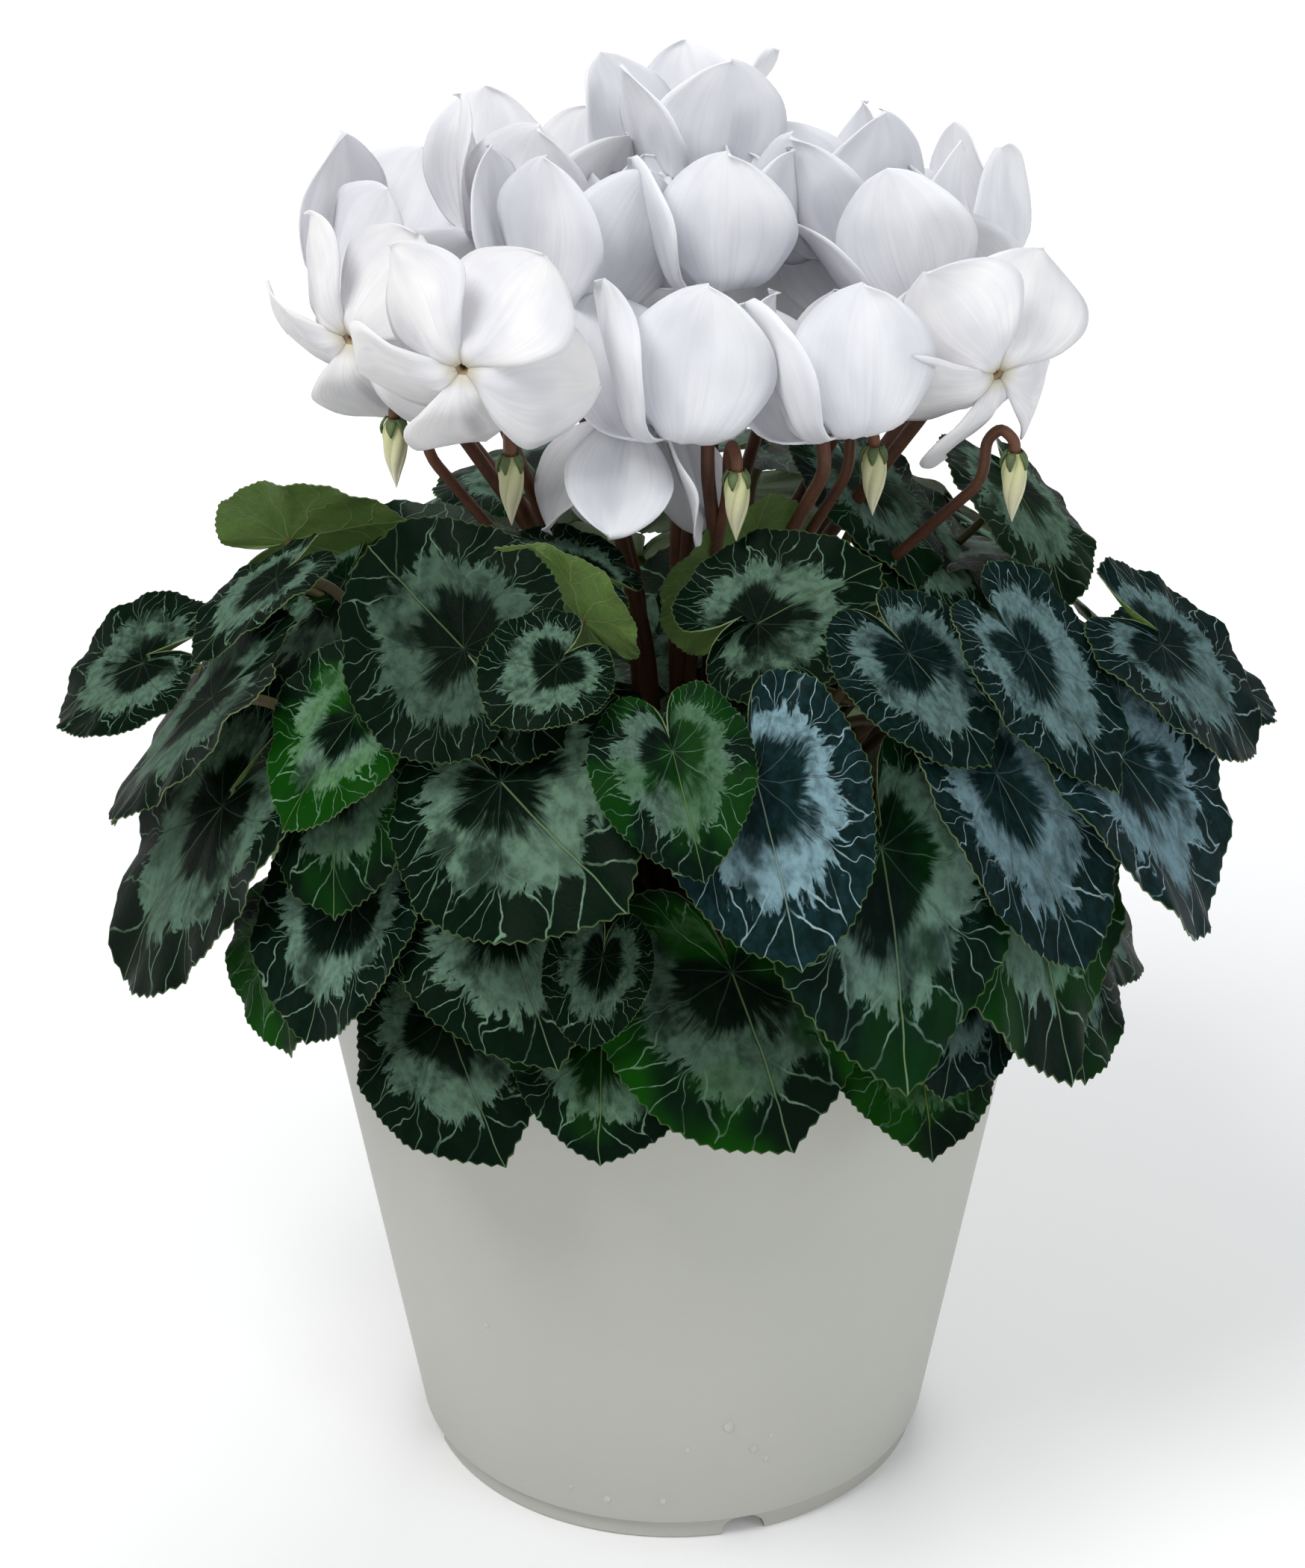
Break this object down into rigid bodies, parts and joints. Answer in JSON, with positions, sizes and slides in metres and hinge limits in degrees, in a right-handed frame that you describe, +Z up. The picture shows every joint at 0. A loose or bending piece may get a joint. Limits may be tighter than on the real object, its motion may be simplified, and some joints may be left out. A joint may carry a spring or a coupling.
{
  "type": "potted cyclamen",
  "caption": "Flowering house plant in a tapered nursery pot: a skirt of heart-shaped leaves under a dome of swept-back white blooms.",
  "frame": {"origin": "on the ground under the middle of the plant and pot", "axes": "+Z up, -Y to the front of the plant, +X to its right as seen from the front"},
  "size_m": [0.338, 0.3004, 0.4092],
  "materials": {
    "pot": "satin pale grey polypropylene",
    "soil": "loose moist peat",
    "stem": "smooth reddish-brown skin",
    "leaf": "waxy dark green with a silver ring",
    "petal": "soft translucent white"
  },
  "bodies": {
    "root": {"pot": "pot", "soil": "soil", "tuber_and_stems": "stem", "leaf_01": "leaf", "leaf_02": "leaf", "leaf_03": "leaf", "leaf_04": "leaf", "leaf_05": "leaf", "leaf_06": "leaf", "leaf_07": "leaf", "leaf_08": "leaf", "leaf_09": "leaf", "leaf_10": "leaf", "leaf_11": "leaf", "leaf_12": "leaf", "leaf_13": "leaf", "leaf_14": "leaf", "leaf_15": "leaf", "leaf_16": "leaf", "leaf_17": "leaf", "leaf_18": "leaf", "leaf_19": "leaf", "leaf_20": "leaf", "leaf_21": "leaf", "leaf_22": "leaf", "leaf_23": "leaf", "leaf_24": "leaf", "leaf_25": "leaf", "leaf_26": "leaf", "leaf_27": "leaf", "leaf_28": "leaf", "leaf_29": "leaf", "leaf_30": "leaf", "leaf_31": "leaf", "leaf_32": "leaf", "leaf_bunch_1": "leaf", "leaf_bunch_2": "leaf", "leaf_bunch_3": "leaf", "leaf_bunch_4": "leaf", "leaf_bunch_5": "leaf", "leaf_bunch_6": "leaf", "leaf_bunch_7": "leaf", "bloom_01": "petal", "bloom_02": "petal", "bloom_03": "petal", "bloom_04": "petal", "bloom_05": "petal", "bloom_06": "petal", "bloom_07": "petal", "bloom_08": "petal"}
  },
  "joints": []
}
